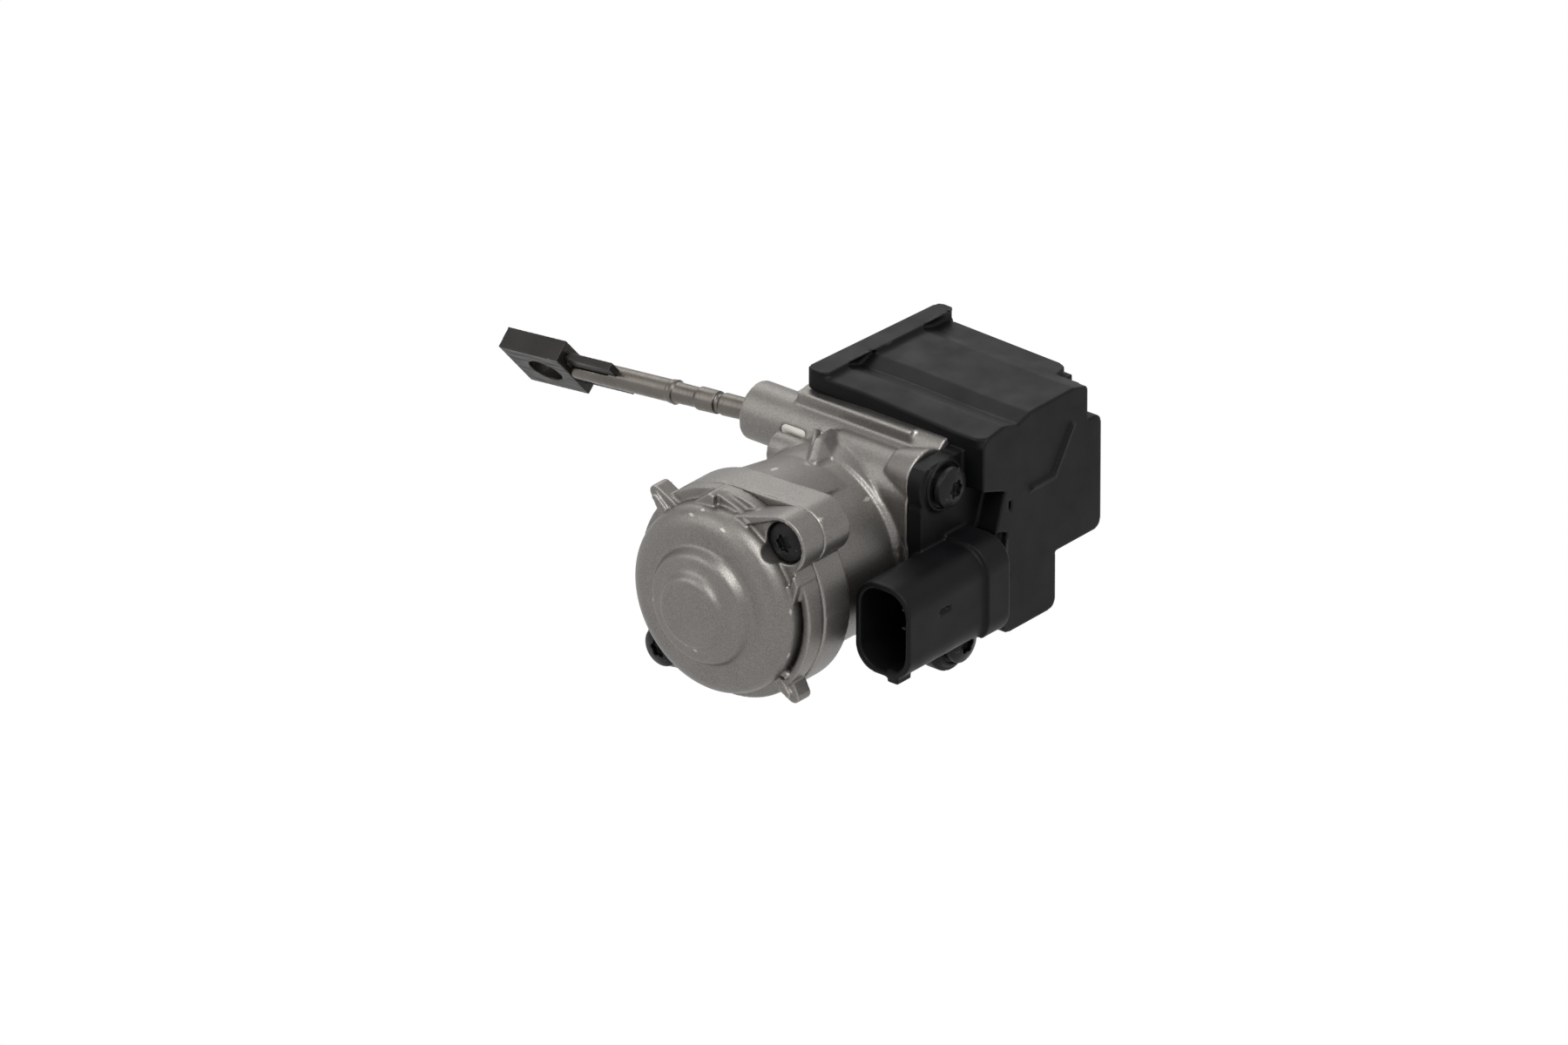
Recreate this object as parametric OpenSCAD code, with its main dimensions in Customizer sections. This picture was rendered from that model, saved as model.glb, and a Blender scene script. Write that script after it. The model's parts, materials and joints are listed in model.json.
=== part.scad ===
/* [Motor housing] */
// Outer radius of the motor tube
tube_r = 22.5; // [22:0.1:23]
// Wall of the motor tube
tube_wall = 2.6; // [2.2:0.1:3]
// Outer radius of the step behind the tube, round the gear chamber
step_r = 23.3; // [23.2:0.1:24]
// Distance from the cap's first ring to the joint between cap and housing
joint_y = 14.8; // [14:0.1:16]
// Length of the housing's flange behind that joint
flange_len = 9.4; // [8:0.1:11]
// Radius of the flange
flange_r = 26.1; // [25.8:0.1:27]
// Distance from the cap's first ring to the end of the tube
tube_end_y = 45; // [44:0.1:47]

/* [Motor cap] */
// Radius of the cap's round wall
cap_r = 23; // [22:0.1:23.4]
// Wall of the cap
cap_wall = 2.4; // [2:0.1:2.8]
// Rounding where the cap's wall turns into its face
cap_round = 5; // [4:0.1:6]
// Radius of the first ring on the cap's face
ring_r = 13.4; // [12:0.1:14]
// Radius of the middle disc on the cap's face
disc_r = 8.6; // [7:0.1:9.5]
// How far the middle disc stands out of the first ring
disc_rise = 2.8; // [2:0.1:3.5]
// Distance of each cap screw from the motor axis
cap_screw_pitch_r = 27.4; // [27:0.1:28.5]
// Angle of the first cap screw, up from the right
cap_screw_angle = 46; // [40:1:50]
// Radius of the lugs that the cap screws go through
cap_lug_r = 7; // [6.5:0.1:7.5]
// Thickness of the cap's upper screw lug
cap_lug_t = 6.2; // [5.5:0.1:7]
// Radius of the cap's lower screw lug
low_lug_r = 5.5; // [5.4:0.1:6.5]
// Thickness of the cap's lower screw lug
low_lug_t = 2.6; // [2.4:0.1:3.2]
// How far the rim round the upper screw's seat stands out
seat_rim = 1; // [0.6:0.1:1.4]
// Thickness of the cap's flange between the lugs
cap_flange_t = 3.2; // [2.5:0.1:4]
// Distance of the tip of each fin from the motor axis
fin_tip_r = 30; // [29:0.1:31]
// Thickness of a fin
fin_t = 4.6; // [3:0.1:5]

/* [Screws] */
// Radius of the thread of the cap and cover screws
screw_r = 2.5; // [2:0.1:3]
// Radius of the pan head
screw_head_r = 4.9; // [4.5:0.1:5.2]
// Height of the pan head
screw_head_h = 2.9; // [2.5:0.1:3.2]
// Length of the screw below its head
screw_len = 14; // [12:0.5:14]
// Radius of the six-lobed socket
socket_r = 2.3; // [2:0.1:2.6]

/* [Gear chamber] */
// Distance from the motor axis to the chamber's left wall, outside
block_left = 18; // [17:0.1:19]
// Distance from the motor axis to the face that the cover closes
face_x = 24.5; // [24:0.1:26]
// Wall of the gear chamber
block_wall = 3; // [2.6:0.1:3.4]
// Where the chamber's front starts, behind the tube
block_front_y = 47; // [46.5:0.1:48]
// Where the raised upper part of the chamber starts
upper_front_y = 57.6; // [57:0.1:58]
// Where the upper part of the chamber ends
block_back_y = 99; // [96:0.5:101]
// Where the lower part of the chamber ends
lower_back_y = 84.5; // [82:0.5:86]
// Height of the chamber's top above the motor axis
block_top_z = 28.2; // [27.8:0.1:28.6]
// Depth of the lower part below the motor axis
lower_z = 21; // [20:0.1:22]
// Depth of the step between the two parts below the motor axis
step_z = 7; // [6:0.1:8]
// Rounding of the chamber's outer corners
block_round = 4; // [3:0.1:5]
// Height of the shoulder between the tube and the cover's upper ear
shoulder_z = 24.2; // [23.8:0.1:24.8]
// Rounding of the shoulder's front
shoulder_round = 9; // [6:0.5:10]
// Right end of the pad that the top box sits on
pad_end_x = 16; // [14:0.5:18]
// Distance behind the cap's first ring where the tube's top has run down from the flange
ramp_end_y = 41; // [36:0.5:43]

/* [Push rod and boss] */
// Distance of the rod's axis behind the cap's first ring
rod_y = 60; // [59.5:0.1:61]
// Height of the rod's axis above the motor axis
rod_z = 18.3; // [18:0.1:18.6]
// Radius of the boss that the rod leaves
boss_r = 7.1; // [6.8:0.1:7.4]
// Distance from the motor axis to the boss's end
boss_end_x = 31; // [29:0.5:33]
// Radius of the round slider that runs in the boss
slider_r = 4; // [3.8:0.1:4.2]
// Wall of the plastic guide bush in the boss
bush_wall = 1; // [0.8:0.1:1.1]
// Depth of the rod's ball behind the boss's end
ball_depth = 7; // [6:0.5:8]
// Radius of the rod's ball
ball_r = 2.9; // [2.7:0.1:3]
// Radius of the rod
rod_r = 2.3; // [2.1:0.1:2.5]
// Distance from the boss's end to the far end of the end block
rod_reach = 72; // [68:1:76]
// How far the loose rod hangs below the boss's axis, in degrees
rod_droop = 5.9; // [0:0.1:7]
// Turn of the end block about the rod, in degrees
block_roll = 40; // [0:1:45]
// Length of the end block along the rod
end_l = 17.3; // [15:0.1:19]
// Height of the end block across the rod
end_h = 16; // [14:0.1:18]
// Thickness of the end block
end_t = 4.6; // [4:0.1:5]
// Radius of the hole in the end block
end_hole_r = 4.1; // [3.5:0.1:4.5]
// Length of the tongue that sits in the rod's slot
tongue_l = 13; // [11:0.5:15]
// Height of the tongue
tongue_h = 8.4; // [7:0.1:9]
// Thickness of the tongue
tongue_t = 1.8; // [1.4:0.1:2.2]

/* [Gears] */
// Module of the motor pinion and its gear
module_1 = 0.5; // [0.5:0.05:0.55]
// Teeth of the motor pinion
pinion_teeth = 10; // [10:1:11]
// Teeth of the large reduction gear
large_teeth = 40; // [38:1:41]
// Module of the second pair of gears
module_2 = 0.7; // [0.65:0.05:0.75]
// Teeth of the small reduction gear
small_teeth = 12; // [11:1:13]
// Teeth of the output gear
output_teeth = 32; // [30:1:33]
// Module of the rack and its pinion
module_3 = 1; // [0.9:0.05:1.05]
// Teeth of the rack's pinion
rack_pinion_teeth = 12; // [11:1:12]
// Distance from the motor axis to the output gear's axis, along the rod
output_x = -1; // [-2:0.5:0]
// Width of the gears' teeth
gear_w = 4; // [3.5:0.1:4.2]
// Radius of the two gear pins
gear_pin_r = 1.5; // [1.2:0.1:1.8]
// Height of the rack's pitch line below the slider's axis
rack_drop = 2.2; // [2:0.1:2.5]
// How far the slider draws the rod in from where it stands
stroke_in = 9; // [7:0.5:9]
// How far the slider pushes the rod out from where it stands
stroke_out = 4; // [3:0.5:4]

/* [Cover] */
// Thickness of the cover's flange
cover_flange_t = 4.4; // [4:0.1:5]
// How far the cover's raised face stands from the motor axis
cover_face_x = 35; // [34:0.1:36]
// Wall of the cover
cover_wall = 2.2; // [1.8:0.1:2.4]
// Where the raised face and the top box start
cover_front_y = 61; // [60.5:0.1:61.5]
// Where the raised face and the top box end
cover_back_y = 104; // [102:0.5:106]
// Height of the top box's roof above the motor axis
cover_top_z = 32.6; // [32.2:0.1:33]
// Left end of the top box from the motor axis
cover_left = 14.5; // [13:0.1:16]
// Width of the raised strip along the top box's left edge
strip_w = 5.4; // [4.5:0.1:6]
// How far that strip stands above the roof
strip_rise = 1.2; // [0.8:0.1:1.6]
// Height of the upper screw ear above the motor axis
ear_up_z = 20.8; // [20:0.1:21.5]
// Distance of the upper screw ear behind the cap's first ring
ear_up_y = 53.3; // [53:0.1:54.5]
// Depth of the lower screw ear below the motor axis
ear_low_z = 20.5; // [20:0.1:21]
// Distance of the lower screw ear behind the cap's first ring
ear_low_y = 57.4; // [57:0.1:58]
// Radius of the screw ears
ear_r = 7.8; // [7.4:0.1:8]
// Wall of the steel sleeve in each ear
sleeve_wall = 1; // [0.8:0.1:1.2]

/* [Connector] */
// Distance from the motor axis to the connector's axis
plug_x = 33; // [32.9:0.1:33.4]
// Depth of the connector's axis below the motor axis
plug_z = 5.2; // [4.5:0.1:5.5]
// Width of the connector
plug_w = 16; // [15:0.1:16.4]
// Height of the connector
plug_h = 23; // [22:0.1:24]
// Wall of the connector's shroud
plug_wall = 1.4; // [1.2:0.1:1.6]
// Distance of the connector's mouth behind the cap's first ring
plug_mouth_y = 27; // [25:0.1:29]
// Depth of the socket
plug_depth = 20; // [18:0.5:21]
// Number of contact blades in each of the two rows
pins_per_row = 3; // [2:1:3]

/* [Hidden] */
$fn = 64;

// Small values shared by many pieces
gap = 0.3;
fit = 0.03;
over = 1;
aluminium = [0.62, 0.61, 0.59];
black = [0.08, 0.08, 0.09];
steel = [0.6, 0.6, 0.6];
dark_steel = [0.28, 0.28, 0.28];
copper = [0.75, 0.45, 0.3];
nylon = [0.85, 0.85, 0.8];

// Gear train: pitch radii, and the two axes found from the three centre distances
r_pinion = module_1 * pinion_teeth / 2;
r_large = module_1 * large_teeth / 2;
r_small = module_2 * small_teeth / 2;
r_output = module_2 * output_teeth / 2;
r_rack_pinion = module_3 * rack_pinion_teeth / 2;
output_z = rod_z - rack_drop - r_rack_pinion;
reach_1 = r_pinion + r_large;
reach_2 = r_small + r_output;
span_out = norm([output_x, output_z]);
bearing_out = atan2(output_z, output_x);
swing_in = acos((reach_1 ^ 2 + span_out ^ 2 - reach_2 ^ 2) / (2 * reach_1 * span_out));
reduction_x = reach_1 * cos(bearing_out - swing_in);
reduction_z = reach_1 * sin(bearing_out - swing_in);
to_output = atan2(output_z - reduction_z, output_x - reduction_x);

// Where the teeth stand: each gear is turned so that it meshes with the one before it
function next_phase(bearing, phase, teeth, next_teeth) =
    bearing + 180 + ((bearing - phase) * teeth / 360 + 0.5) * 360 / next_teeth;
phase_pinion = 0;
phase_large = next_phase(bearing_out - swing_in, phase_pinion, pinion_teeth, large_teeth);
phase_small = phase_large;
phase_output = next_phase(to_output, phase_small, small_teeth, output_teeth);
rack_shift = (90 - phase_output) * rack_pinion_teeth / 360;
rack_pitch = PI * module_3;

// Layers of the gear chamber along the motor axis
chamber_y = block_front_y + block_wall;
first_y = chamber_y + 1;
rack_y = rod_y - slider_r;
rack_back_y = rod_y + slider_r;
output_y = rack_back_y + 1.2;
gears_end_y = output_y + gear_w;
pin_end_y = gears_end_y + 4;

// Motor: layers from the cap's inside to the chamber
bore_r = tube_r - tube_wall;
can_r = bore_r - gap;
can_wall = 1.2;
can_y = 8.5;
can_back_y = tube_end_y - 1;
motor_len = can_back_y - can_y;
commutator_r = 4.2;
magnet_r = can_r - can_wall;
magnet_t = 3.6;
armature_r = magnet_r - magnet_t - 0.6;
shaft_r = 1.6;
hub_r = 5;
bush_r = 3.6;
shaft_y = can_y - 3.4;
shaft_end_y = first_y + gear_w + 0.6;

// Rod: the ball's centre, and the lengths on the rod counted from it
ball_x = -boss_end_x + ball_depth;
bush_r_out = slider_r + fit + bush_wall;
rod_len = rod_reach + ball_depth;
slider_x = ball_x - 3.2;
rack_x = output_x - stroke_in - 5;
slider_end_x = output_x + stroke_out + module_3 + 2;
bush_end_x = output_x - r_rack_pinion - 1.4;
channel_r = slider_r + 0.6;
mouth_r = slider_r + 0.8;
seal_x = -boss_end_x + 2;
seal_end_x = seal_x + 2.7;
holder_l = 8;
holder_w = 7;
holder_z = block_top_z - block_wall - 0.5;
magnet_inset = 1.2;

// Cover screws: two in ears on the right, two through the cover's rear wall
ear_seat_x = face_x + 6.2;
ear_spots = [[ear_up_y, ear_up_z], [ear_low_y, -ear_low_z]];
rear_wall_y = block_back_y + gap;
rear_seat_y = cover_back_y;
rear_spots = [[8, rod_z], [8, 0]];
screw_boss_x = ear_seat_x - screw_len - 0.7;
sleeve_r = screw_r + 0.2 + sleeve_wall;
module at_ears() {
    for (spot = ear_spots) {
        translate([ear_seat_x, spot[0], spot[1]]) children();
    }
}
module at_rear() {
    for (spot = rear_spots) {
        translate([spot[0], rear_seat_y, spot[1]]) rotate([0, 0, 90]) children();
    }
}

// Mounting threads on the left wall, which bolts to the compressor housing
mount_r = 2.5;
mount_depth = 11;
mount_boss_r = 6;
mount_x = -block_left - 1.5;
mount_spots = [[block_front_y + 8, -13], [lower_back_y - 7, -14], [block_back_y - 9, 12]];

// The origin is the mouth of the first mounting thread
origin = [mount_x, mount_spots[0][0], mount_spots[0][1]];
module placed() {
    translate(-origin) children();
}

// Extrusions and turned forms along the motor axis (y) and along the rod (x)
module along_y(from, to) {
    translate([0, to, 0]) rotate([90, 0, 0]) linear_extrude(to - from) children();
}
module along_x(from, to) {
    translate([from, 0, 0]) rotate([90, 0, 90]) linear_extrude(to - from) children();
}
module turned_y() {
    rotate([-90, 0, 0]) rotate_extrude($fn = 96) children();
}
module rod_y_cyl(x, z, r, from, to) {
    translate([x, 0, z]) along_y(from, to) circle(r);
}
module rod_x_cyl(y, z, r, from, to) {
    translate([0, y, z]) along_x(from, to) circle(r);
}

// A rectangle from corner to corner with round corners
module round_rect(low, high, r) {
    w = high[0] - low[0];
    h = high[1] - low[1];
    translate(low + [r, 0]) square([w - 2 * r, h]);
    translate(low + [0, r]) square([w, h - 2 * r]);
    for (x = [low[0] + r, high[0] - r], y = [low[1] + r, high[1] - r]) {
        translate([x, y]) circle(r);
    }
}

// A big circle round the origin and a small one beside it, joined by their two tangents
module belt(big_r, small_r, distance, angle) {
    open = acos((big_r - small_r) / distance);
    far = distance * [cos(angle), sin(angle)];
    polygon([
        big_r * [cos(angle - open), sin(angle - open)],
        far + small_r * [cos(angle - open), sin(angle - open)],
        far + small_r * [cos(angle + open), sin(angle + open)],
        big_r * [cos(angle + open), sin(angle + open)],
        [0, 0]
    ]);
    translate(far) circle(small_r);
}

// Involute spur gear: the tooth's half angle falls from the base circle to the tip
function involute(a) = tan(a) * 180 / PI - a;
function half_angle(m, teeth, rho) =
    90 / teeth - 5.2 / teeth + involute(20)
    - involute(acos(min(1, m * teeth / 2 * cos(20) / rho)));
module spur(m, teeth, phase) {
    root = m * (teeth / 2 - 1.2);
    base = max(root + 0.15 * m, m * teeth / 2 * cos(20));
    tip = m * (teeth / 2 + 0.85);
    steps = 3;
    radii = [for (i = [0:steps]) base + (tip - base) * i / steps];
    flank = concat([[root - 0.1 * m, half_angle(m, teeth, base)]],
        [for (rho = radii) [rho, half_angle(m, teeth, rho)]]);
    last = len(flank) - 1;
    circle(root);
    for (i = [0:teeth - 1]) {
        rotate(phase + i * 360 / teeth) polygon(concat(
            [for (p = flank) p[0] * [cos(p[1]), -sin(p[1])]],
            [for (k = [last:-1:0]) flank[k][0] * [cos(flank[k][1]), sin(flank[k][1])]]
        ));
    }
}

// Six-lobed socket of a screw
module lobes(r) {
    circle(r * 0.8, $fn = 32);
    for (i = [0:5]) {
        rotate(i * 60) translate([r * 0.72, 0]) circle(r * 0.28, $fn = 24);
    }
}

// A pan-head screw along the x axis, its head's seat at the origin and its thread toward -x
module pan_screw(length) {
    difference() {
        rotate([0, 90, 0]) rotate_extrude() union() {
            translate([0, -length]) square([screw_r, length + 0.5]);
            intersection() {
                square([screw_head_r, screw_head_h]);
                translate([0, screw_head_h - 9]) circle(9, $fn = 96);
            }
        }
        along_x(screw_head_h - 1.7, screw_head_h + over) lobes(socket_r);
    }
}

// Outline of the flange: a round with two screw lugs across it
module flange_outline(r) {
    circle(r, $fn = 96);
    belt(r, cap_lug_r, cap_screw_pitch_r, cap_screw_angle);
    belt(r, low_lug_r, cap_screw_pitch_r, cap_screw_angle + 180);
}
module cap_screw_spots(seats = [0, 0]) {
    for (side = [0, 1]) {
        a = cap_screw_angle + side * 180;
        translate([cap_screw_pitch_r * cos(a), seats[side], cap_screw_pitch_r * sin(a)]) children();
    }
}
cap_seats = [joint_y - cap_lug_t + screw_head_h - 0.4, joint_y - low_lug_t];

// Ring that seals the cap against the housing
gasket_t = 0.8;
module gasket_ring(room) {
    difference() {
        circle(bore_r + 2.6 + room, $fn = 96);
        circle(bore_r + 1 - room, $fn = 96);
    }
}

// Side outline of the gear chamber, drawn along the motor axis and up
module chamber_outline(inset) {
    low_y = block_front_y + inset;
    round_rect([low_y, -lower_z + inset], [lower_back_y - inset, rod_z + 2 - inset], block_round - inset);
    round_rect([upper_front_y + inset, -step_z + inset],
        [block_back_y - inset, block_top_z - inset], block_round - inset);
}

// Step behind the tube: it starts at a slanted edge on top, and the cover's face cuts it
step_edge_front = [3.4, tube_end_y];
step_edge_back = [-2.1, upper_front_y];
module tube_step() {
    intersection() {
        along_y(tube_end_y, upper_front_y + over) circle(step_r, $fn = 96);
        translate([0, 0, -step_r - over]) linear_extrude(2 * step_r + 2 * over) polygon([
            step_edge_front, step_edge_back, step_edge_back + [0, 2],
            [face_x, upper_front_y + 2], [face_x, tube_end_y]
        ]);
    }
    intersection() {
        along_y(tube_end_y - over, upper_front_y + over) circle(tube_r - 0.1, $fn = 96);
        translate([-block_left + 0.4, tube_end_y - 2 * over, -tube_r])
            cube([block_left + face_x - over, upper_front_y, 2 * tube_r]);
    }
}

// On top the flange runs down to the tube in a gentle cone, left of the upper screw's lug
module tube_ramp(from) {
    intersection() {
        translate([0, from, 0]) rotate([-90, 0, 0])
            cylinder(h = ramp_end_y - from, r1 = flange_r - over, r2 = tube_r, $fn = 96);
        translate([-tube_r / 2, from, 0]) cube([tube_r, ramp_end_y - from, flange_r]);
    }
}

// Low rib that runs from the tube's top to the boss, across the corner between them
module boss_rib() {
    start = [2.2, ramp_end_y - 1.2, rod_z - 3];
    translate(start) rotate([0, 0, 125]) cube([rod_y - boss_r - start[1] + 4, 1.4, step_r - start[2]]);
}
boss_pocket = [[-18.6, rod_z + 0.3], [-11.3, rod_z + 3.1], 0.8];

module gear_housing() {
    flange_back_y = joint_y + flange_len;
    color(aluminium) difference() {
        union() {
            along_y(joint_y, flange_back_y) flange_outline(flange_r);
            along_y(flange_back_y - over, tube_end_y) circle(tube_r, $fn = 96);
            tube_step();
            tube_ramp(flange_back_y - over);
            along_x(-block_left, face_x) chamber_outline(0);
            // Shoulder up to the upper ear, and the pad under the top box
            along_x(step_edge_back[0], face_x)
                round_rect([block_front_y - 1, 0], [upper_front_y + shoulder_round, shoulder_z], shoulder_round);
            translate([-block_left + 0.5, upper_front_y, rod_z])
                cube([block_left + pad_end_x - 0.5, 2 * block_round, block_top_z - rod_z]);
            rod_x_cyl(rod_y, rod_z, boss_r, -boss_end_x, screw_boss_x);
            boss_rib();
            for (spot = ear_spots) {
                translate([screw_boss_x, spot[0], spot[1]]) rotate([0, 90, 0])
                    cylinder(h = face_x - screw_boss_x, r1 = screw_r + 2.5, r2 = ear_r - 0.6);
            }
            for (spot = mount_spots) {
                rod_x_cyl(spot[0], spot[1], mount_boss_r, mount_x, -block_left + over);
            }
        }
        // Motor bore and the hole for the motor's rear hub
        along_y(joint_y - over, can_back_y) circle(bore_r, $fn = 96);
        along_y(can_back_y - over, chamber_y + over) circle(hub_r + gap);
        // Gear chamber, open toward the cover
        difference() {
            along_x(-block_left + block_wall, face_x + over) chamber_outline(block_wall);
            for (spot = ear_spots) {
                rod_x_cyl(spot[0], spot[1], ear_r - 2, screw_boss_x, face_x + over);
            }
            for (spot = rear_spots) {
                rod_y_cyl(spot[0], spot[1], screw_r + 3, rear_seat_y - screw_len - 1, block_back_y);
            }
            for (spot = mount_spots) {
                rod_x_cyl(spot[0], spot[1], mount_boss_r, -block_left, mount_x + mount_depth + 2);
            }
            for (spot = [[reduction_x, reduction_z], [output_x, output_z]]) {
                rod_y_cyl(spot[0], spot[1], gear_pin_r + 1.5, block_front_y, first_y - 0.5);
            }
            // Web behind the gears, which carries the far ends of the gear pins
            translate([-block_left, pin_end_y - 2.4, -lower_z])
                cube([face_x + block_left - 2, 4, lower_z + block_top_z]);
        }
        // Bush seat and mouth in the boss
        rod_x_cyl(rod_y, rod_z, bush_r_out, seal_x, bush_end_x);
        rod_x_cyl(rod_y, rod_z, mouth_r, -boss_end_x - over, bush_end_x);
        rod_x_cyl(rod_y, rod_z, channel_r, bush_end_x - over, screw_boss_x - 0.2);
        // Room for the rack's pinion
        rod_y_cyl(output_x, output_z, r_rack_pinion + 1.6, rack_y - 0.5, output_y);
        // Window for the sensor over the slider
        translate([-10, rack_back_y - 2, block_top_z - block_wall - over]) cube([26, 5, block_wall + 2]);
        // Shallow pocket on the boss's front
        along_y(rod_y - boss_r - over, rod_y - boss_r + boss_pocket[2])
            round_rect(boss_pocket[0], boss_pocket[1], 1.2);
        // Groove for the cap's gasket
        along_y(joint_y - over, joint_y + gasket_t) gasket_ring(0.05);
        // Threads for cap, cover and mounting screws
        cap_screw_spots() along_y(joint_y - over, joint_y + 13) circle(screw_r + fit);
        at_ears() rod_x_cyl(0, 0, screw_r + fit, -screw_len - 0.5, 0);
        at_rear() rod_x_cyl(0, 0, screw_r + fit, -screw_len - 0.5, 0);
        for (spot = mount_spots) {
            rod_x_cyl(spot[0], spot[1], mount_r, mount_x - over, mount_x + mount_depth);
        }
        // Bores for the gear pins
        for (spot = [[reduction_x, reduction_z], [output_x, output_z]]) {
            rod_y_cyl(spot[0], spot[1], gear_pin_r, block_front_y + 0.8, pin_end_y);
        }
    }
}

module cap_profile(inset) {
    wall_r = cap_r - inset;
    face_y = 3 + inset;
    round = cap_round - inset;
    difference() {
        union() {
            translate([0, face_y + round]) square([wall_r, joint_y - face_y - round]);
            translate([0, face_y]) square([wall_r - round, round + over]);
            translate([wall_r - round, face_y + round]) circle(round);
            polygon([[0, -disc_rise + inset], [disc_r - 0.8 - inset / 2, -disc_rise + inset],
                [disc_r - inset / 2, 0.4 - disc_rise + inset],
                [disc_r + 1 - inset / 2, -0.5 + inset], [ring_r - 0.6 - inset / 2, inset],
                [ring_r - inset / 2, 0.3 + inset], [ring_r + 1.2 - inset / 2, face_y + 0.1],
                [ring_r + 1.2 - inset / 2, face_y + 1], [0, face_y + 1]]);
        }
        translate([-20, -over - disc_rise]) square([20, 40]);
    }
}

// Sector of a disc, from one angle to the other
module sector(r, from, to) {
    steps = 6;
    polygon(concat([[0, 0]], [for (i = [0:steps]) r * [cos(from + (to - from) * i / steps),
        sin(from + (to - from) * i / steps)]]));
}

// Wall round the upper screw's seat, and the machined seat that is cut into it
module seat_wall() {
    along_y(joint_y - cap_lug_t - seat_rim, joint_y)
        belt(cap_r - 2.6, cap_lug_r, cap_screw_pitch_r, cap_screw_angle);
}
module seat_cut() {
    along_y(-disc_rise, joint_y - cap_lug_t) difference() {
        belt(cap_r - cap_lug_r, cap_lug_r - 1.1, cap_screw_pitch_r, cap_screw_angle);
        circle(cap_r, $fn = 96);
    }
}

// Fins across the screws, each with a ridge down its middle
module fins() {
    for (turn = [0, 180]) {
        angle = cap_screw_angle + 90 + turn;
        along_y(joint_y - fin_t, joint_y) belt(10, 1.6, fin_tip_r - 1.6, angle);
        along_y(joint_y - fin_t - 1.3, joint_y) belt(2, 0.8, fin_tip_r - 2.6, angle);
    }
}

// Rim of the cap's flange on the right, the rib in its pocket, and the peaked gusset on top
module cap_rim() {
    rim_front_y = joint_y - cap_flange_t - 2;
    along_y(rim_front_y, joint_y) difference() {
        intersection() {
            circle(flange_r - 0.3, $fn = 96);
            sector(2 * flange_r, cap_screw_angle - 92, cap_screw_angle - 10);
        }
        circle(flange_r - 2.3, $fn = 96);
    }
    along_y(rim_front_y - over, joint_y) rotate(cap_screw_angle - 82)
        translate([cap_r - 3.5, -0.8]) square([flange_r - cap_r + 2, 1.6]);
    peak = [-2.6, 26];
    along_y(rim_front_y - 1.8, joint_y)
        polygon([peak, peak + [1.4, -0.4], [peak[0] + 1.4, cap_r - 4], [-9.5, cap_r - 6], [-9.5, cap_r - 2.6]]);
    along_y(rim_front_y, joint_y)
        polygon([peak + [1.3, -0.4], [5.6, cap_r + 0.4], [5.6, cap_r - 4], [peak[0] + 1.3, cap_r - 4]]);
}

module motor_cap() {
    color(aluminium) difference() {
        union() {
            turned_y() cap_profile(0);
            along_y(joint_y - cap_flange_t, joint_y) circle(flange_r - 0.3, $fn = 96);
            seat_wall();
            along_y(joint_y - low_lug_t, joint_y)
                belt(cap_r, low_lug_r, cap_screw_pitch_r, cap_screw_angle + 180);
            fins();
            cap_rim();
        }
        turned_y() cap_profile(cap_wall);
        along_y(joint_y - over, joint_y + over) circle(cap_r - cap_wall, $fn = 96);
        seat_cut();
        cap_screw_spots(cap_seats) {
            along_y(-20, 0) circle(screw_head_r + 0.3);
            along_y(-over, joint_y) circle(screw_r + 0.2);
        }
    }
}

module cap_screws() {
    color(black) cap_screw_spots(cap_seats) rotate([0, 0, -90]) pan_screw(screw_len - 3);
}

// Outline of the cover's flange, drawn along the motor axis and up
module cover_flange_outline() {
    round_rect([block_front_y + 6, -lower_z], [lower_back_y + 2.5, rod_z + 2], 3);
    round_rect([block_front_y - 1, -lower_z + 8], [cover_front_y + 5, ear_up_z - 2], 3);
    round_rect([cover_front_y - 3, -step_z], [block_back_y, block_top_z], 3);
    for (spot = ear_spots) {
        translate(spot) circle(ear_r);
    }
}

// Outline of the cover's raised face: an upper field and a narrower lower one
module raised_outline(inset) {
    difference() {
        union() {
            round_rect([cover_front_y + inset, -step_z - 0.7 + inset],
                [cover_back_y - inset, cover_top_z - 11 - inset], 2.4 - inset / 2);
            round_rect([cover_front_y + inset, inset],
                [cover_back_y - 5 - inset, cover_top_z - inset], 2.4 - inset / 2);
            round_rect([ear_low_y + ear_r + 3 + inset, -lower_z - 1 + inset],
                [lower_back_y + 3 - inset, 4 - inset], 2.4 - inset / 2);
        }
        // Bay round the upper screw ear, with a slanted lower edge
        polygon([
            [cover_front_y - over, ear_up_z + 7.5 + inset],
            [cover_front_y - over, -step_z - 2],
            [cover_front_y + 6.5 + inset, -step_z - 2],
            [cover_front_y + 4.7 + inset, 5.4],
            [cover_front_y + 8 + inset, 14.7 + inset / 2],
            [cover_front_y + inset - 1, ear_up_z - 3],
            [cover_front_y + inset - 1, ear_up_z + 7.5 + inset]
        ]);
    }
}

// Bent ridge on the raised face
module face_ridge() {
    bend = [cover_back_y - 17.2, cover_top_z - 21.1];
    ridge_w = 1.3;
    translate(bend) rotate(57) square([13, ridge_w]);
    translate(bend - [8.5, 0]) square([9, ridge_w]);
}

// Outline of the roof: its back edge steps forward at the right end
module roof_outline(inset) {
    low = [-cover_left + inset, cover_front_y + inset];
    round_rect(low, [face_x + 1 - inset, cover_back_y - inset], 3 - inset);
    round_rect(low, [cover_face_x - inset, cover_back_y - 5 - inset], 3 - inset);
}

// Stadium-shaped section of the connector, across its width and height
module plug_section(inset) {
    low = [-plug_w / 2 + inset, -plug_h / 2 + inset];
    round_rect(low, -low, 6 - inset / 2);
}

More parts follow.
